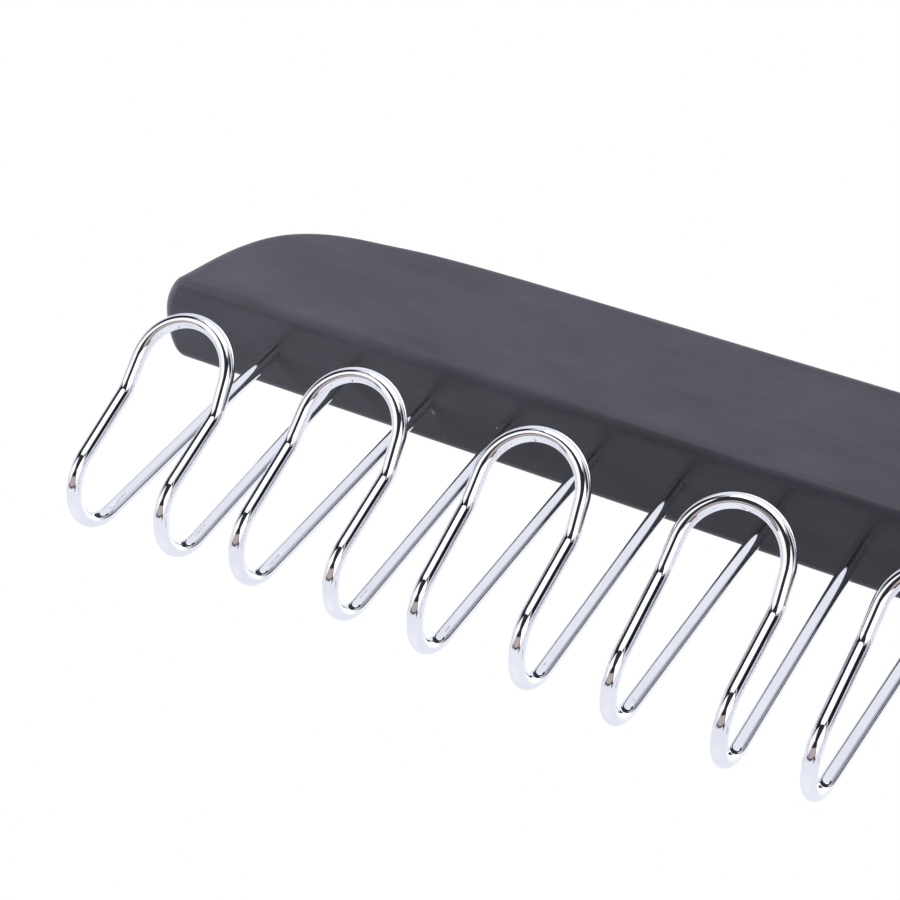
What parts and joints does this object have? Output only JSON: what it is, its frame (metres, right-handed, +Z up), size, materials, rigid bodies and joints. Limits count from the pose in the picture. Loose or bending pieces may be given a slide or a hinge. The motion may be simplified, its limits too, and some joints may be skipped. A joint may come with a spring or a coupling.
{
  "type": "belt hanger",
  "caption": "Wooden hanger bar with a row of bent chrome wire hooks for belts below it and a swivel hook above for a wardrobe rod.",
  "frame": {"origin": "the seat of the wardrobe rod, at the inside of the swivel hook's crown, on the swivel's axis", "axes": "+Z up along the swivel's axis, +X along the bar, and the belt hooks' open fronts face -Y"},
  "size_m": [0.378, 0.0364, 0.1434],
  "materials": {
    "satin_black_lacquer": "satin black lacquer over faint long grain",
    "bright_chrome": "bright chrome plate on steel wire",
    "zinc_plate": "dull zinc plate"
  },
  "bodies": {
    "rod_hook": {"swivel_hook": "bright_chrome", "retaining_washer": "zinc_plate", "retaining_nut": "zinc_plate"},
    "belt_rail": {"wooden_bar": "satin_black_lacquer", "belt_hook_01": "bright_chrome", "belt_hook_02": "bright_chrome", "belt_hook_03": "bright_chrome", "belt_hook_04": "bright_chrome", "belt_hook_05": "bright_chrome", "belt_hook_06": "bright_chrome", "belt_hook_07": "bright_chrome", "belt_hook_08": "bright_chrome", "belt_hook_09": "bright_chrome", "belt_hook_10": "bright_chrome", "belt_hook_11": "bright_chrome", "hook_bush": "bright_chrome"}
  },
  "joints": [
    {"name": "hook_swivel", "type": "hinge", "parent": "rod_hook", "child": "belt_rail", "pos_m": [0, 0, -0.086], "axis": [0, 0, 1], "continuous": true}
  ]
}
